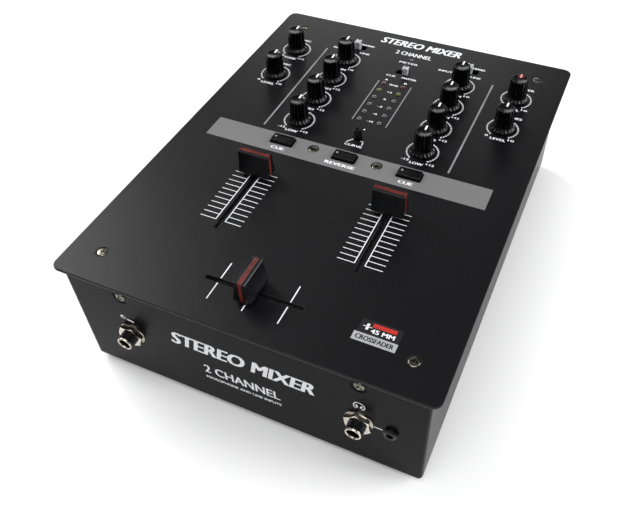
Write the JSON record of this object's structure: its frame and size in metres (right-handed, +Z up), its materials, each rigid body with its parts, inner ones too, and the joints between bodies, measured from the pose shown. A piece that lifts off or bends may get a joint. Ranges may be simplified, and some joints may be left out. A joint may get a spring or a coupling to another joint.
{
  "type": "dj mixer",
  "caption": "Two-channel dj mixer: steel case with a flat overhanging panel, rotary tone controls, slide faders, push buttons, level meter and audio sockets.",
  "frame": {"origin": "on the table under the middle of the top panel, at the middle of the whole object's depth", "axes": "+X to the player's right, +Y away from the player towards the rear sockets, +Z up out of the panel"},
  "size_m": [0.2, 0.2758, 0.0918],
  "materials": {
    "case_paint": "satin black powder coat, smooth",
    "panel_paint": "fine-textured matt black powder coat with printed white legends and a grey band",
    "zinc_screw": "zinc-plated steel, bright",
    "rubber": "matt black rubber",
    "circuit_board": "green solder resist on glass-fibre laminate",
    "component_plastic": "matt black moulded plastic",
    "plated_steel": "tin-plated pressed steel",
    "polished_steel": "polished steel",
    "lamp_lens": "diffused clear, green-yellow and red resin lenses, unlit",
    "socket_black": "black moulded plastic",
    "nickel": "nickel-plated brass",
    "switch_plastic": "glossy black plastic",
    "knob_plastic": "satin black plastic with a white pointer line",
    "aluminium_shaft": "machined aluminium",
    "cap_plastic": "satin black plastic with a brick-red line",
    "carriage_plastic": "black acetal with a steel stem",
    "button_plastic": "satin black plastic",
    "lever_silver": "silver-plated plastic"
  },
  "bodies": {
    "case": {"lower_chassis": "case_paint", "rear_panel": "case_paint", "top_panel": "panel_paint", "panel_screws": "zinc_screw", "case_screws": "zinc_screw", "rubber_feet": "rubber", "control_board": "circuit_board", "pot_bodies": "component_plastic", "slide_switch_bodies": "plated_steel", "button_switches": "component_plastic", "meter_lamps": "lamp_lens", "fader_frames": "plated_steel", "fader_rails": "polished_steel", "front_sockets": "socket_black", "socket_nuts": "nickel", "socket_washers": "nickel", "mini_socket": "socket_black", "phono_sockets": "nickel", "ground_post": "nickel", "power_inlet": "socket_black", "rocker_frame": "socket_black", "main_board": "circuit_board"},
    "mic_tone_control": {"mic_tone_knob": "knob_plastic", "mic_tone_shaft": "aluminium_shaft"},
    "mic_level_control": {"mic_level_knob": "knob_plastic", "mic_level_shaft": "aluminium_shaft"},
    "left_gain_control": {"left_gain_knob": "knob_plastic", "left_gain_shaft": "aluminium_shaft"},
    "left_high_control": {"left_high_knob": "knob_plastic", "left_high_shaft": "aluminium_shaft"},
    "left_mid_control": {"left_mid_knob": "knob_plastic", "left_mid_shaft": "aluminium_shaft"},
    "left_low_control": {"left_low_knob": "knob_plastic", "left_low_shaft": "aluminium_shaft"},
    "right_gain_control": {"right_gain_knob": "knob_plastic", "right_gain_shaft": "aluminium_shaft"},
    "right_high_control": {"right_high_knob": "knob_plastic", "right_high_shaft": "aluminium_shaft"},
    "right_mid_control": {"right_mid_knob": "knob_plastic", "right_mid_shaft": "aluminium_shaft"},
    "right_low_control": {"right_low_knob": "knob_plastic", "right_low_shaft": "aluminium_shaft"},
    "master_level_control": {"master_level_knob": "knob_plastic", "master_level_shaft": "aluminium_shaft"},
    "phones_level_control": {"phones_level_knob": "knob_plastic", "phones_level_shaft": "aluminium_shaft"},
    "curve_control": {"curve_knob": "knob_plastic"},
    "left_fader": {"left_fader_cap": "cap_plastic", "left_fader_carriage": "carriage_plastic"},
    "right_fader": {"right_fader_cap": "cap_plastic", "right_fader_carriage": "carriage_plastic"},
    "crossfader": {"crossfader_cap": "cap_plastic", "crossfader_carriage": "carriage_plastic"},
    "left_cue_key": {"left_cue_button": "button_plastic"},
    "reverse_key": {"reverse_button": "button_plastic"},
    "right_cue_key": {"right_cue_button": "button_plastic"},
    "left_selector": {"left_selector_lever": "lever_silver"},
    "right_selector": {"right_selector_lever": "lever_silver"},
    "meter_switch": {"meter_switch_lever": "lever_silver"},
    "power_switch": {"power_rocker": "switch_plastic"}
  },
  "joints": [
    {"name": "mic_tone_turn", "type": "hinge", "parent": "case", "child": "mic_tone_control", "pos_m": [-0.0746, 0.0889, 0.0768], "axis": [0, 0, 1], "range_deg": [-150, 150]},
    {"name": "mic_level_turn", "type": "hinge", "parent": "case", "child": "mic_level_control", "pos_m": [-0.0746, 0.0577, 0.0768], "axis": [0, 0, 1], "range_deg": [-150, 150]},
    {"name": "left_gain_turn", "type": "hinge", "parent": "case", "child": "left_gain_control", "pos_m": [-0.0387, 0.0895, 0.0768], "axis": [0, 0, 1], "range_deg": [-150, 150]},
    {"name": "left_high_turn", "type": "hinge", "parent": "case", "child": "left_high_control", "pos_m": [-0.0387, 0.0662, 0.0768], "axis": [0, 0, 1], "range_deg": [-150, 150]},
    {"name": "left_mid_turn", "type": "hinge", "parent": "case", "child": "left_mid_control", "pos_m": [-0.0387, 0.0429, 0.0768], "axis": [0, 0, 1], "range_deg": [-150, 150]},
    {"name": "left_low_turn", "type": "hinge", "parent": "case", "child": "left_low_control", "pos_m": [-0.0387, 0.0196, 0.0768], "axis": [0, 0, 1], "range_deg": [-150, 150]},
    {"name": "right_gain_turn", "type": "hinge", "parent": "case", "child": "right_gain_control", "pos_m": [0.0387, 0.0895, 0.0768], "axis": [0, 0, 1], "range_deg": [-150, 150]},
    {"name": "right_high_turn", "type": "hinge", "parent": "case", "child": "right_high_control", "pos_m": [0.0387, 0.0662, 0.0768], "axis": [0, 0, 1], "range_deg": [-150, 150]},
    {"name": "right_mid_turn", "type": "hinge", "parent": "case", "child": "right_mid_control", "pos_m": [0.0387, 0.0429, 0.0768], "axis": [0, 0, 1], "range_deg": [-150, 150]},
    {"name": "right_low_turn", "type": "hinge", "parent": "case", "child": "right_low_control", "pos_m": [0.0387, 0.0196, 0.0768], "axis": [0, 0, 1], "range_deg": [-150, 150]},
    {"name": "master_level_turn", "type": "hinge", "parent": "case", "child": "master_level_control", "pos_m": [0.0746, 0.0889, 0.0768], "axis": [0, 0, 1], "range_deg": [-150, 150]},
    {"name": "phones_level_turn", "type": "hinge", "parent": "case", "child": "phones_level_control", "pos_m": [0.0746, 0.0577, 0.0768], "axis": [0, 0, 1], "range_deg": [-150, 150]},
    {"name": "curve_turn", "type": "hinge", "parent": "case", "child": "curve_control", "pos_m": [0, 0.0174, 0.0768], "axis": [0, 0, 1], "range_deg": [-150, 150]},
    {"name": "left_fader_slide", "type": "slide", "parent": "case", "child": "left_fader", "axis": [0, 1, 0], "range_m": [-0.0421, 0.0029]},
    {"name": "right_fader_slide", "type": "slide", "parent": "case", "child": "right_fader", "axis": [0, 1, 0], "range_m": [-0.0421, 0.0029]},
    {"name": "crossfader_slide", "type": "slide", "parent": "case", "child": "crossfader", "axis": [1, 0, 0], "range_m": [-0.0214, 0.0236]},
    {"name": "left_cue_press", "type": "slide", "parent": "case", "child": "left_cue_key", "axis": [0, 0, -1], "range_m": [0, 0.0015], "stiffness_N_per_m": 700},
    {"name": "reverse_press", "type": "slide", "parent": "case", "child": "reverse_key", "axis": [0, 0, -1], "range_m": [0, 0.0015], "stiffness_N_per_m": 700},
    {"name": "right_cue_press", "type": "slide", "parent": "case", "child": "right_cue_key", "axis": [0, 0, -1], "range_m": [0, 0.0015], "stiffness_N_per_m": 700},
    {"name": "left_selector_slide", "type": "slide", "parent": "case", "child": "left_selector", "axis": [1, 0, 0], "range_m": [0, 0.0036]},
    {"name": "right_selector_slide", "type": "slide", "parent": "case", "child": "right_selector", "axis": [1, 0, 0], "range_m": [0, 0.0036]},
    {"name": "meter_switch_slide", "type": "slide", "parent": "case", "child": "meter_switch", "axis": [-1, 0, 0], "range_m": [0, 0.0036]},
    {"name": "power_rock", "type": "hinge", "parent": "case", "child": "power_switch", "pos_m": [0.068, 0.1254, 0.034], "axis": [1, 0, 0], "range_deg": [-18, 0]}
  ]
}
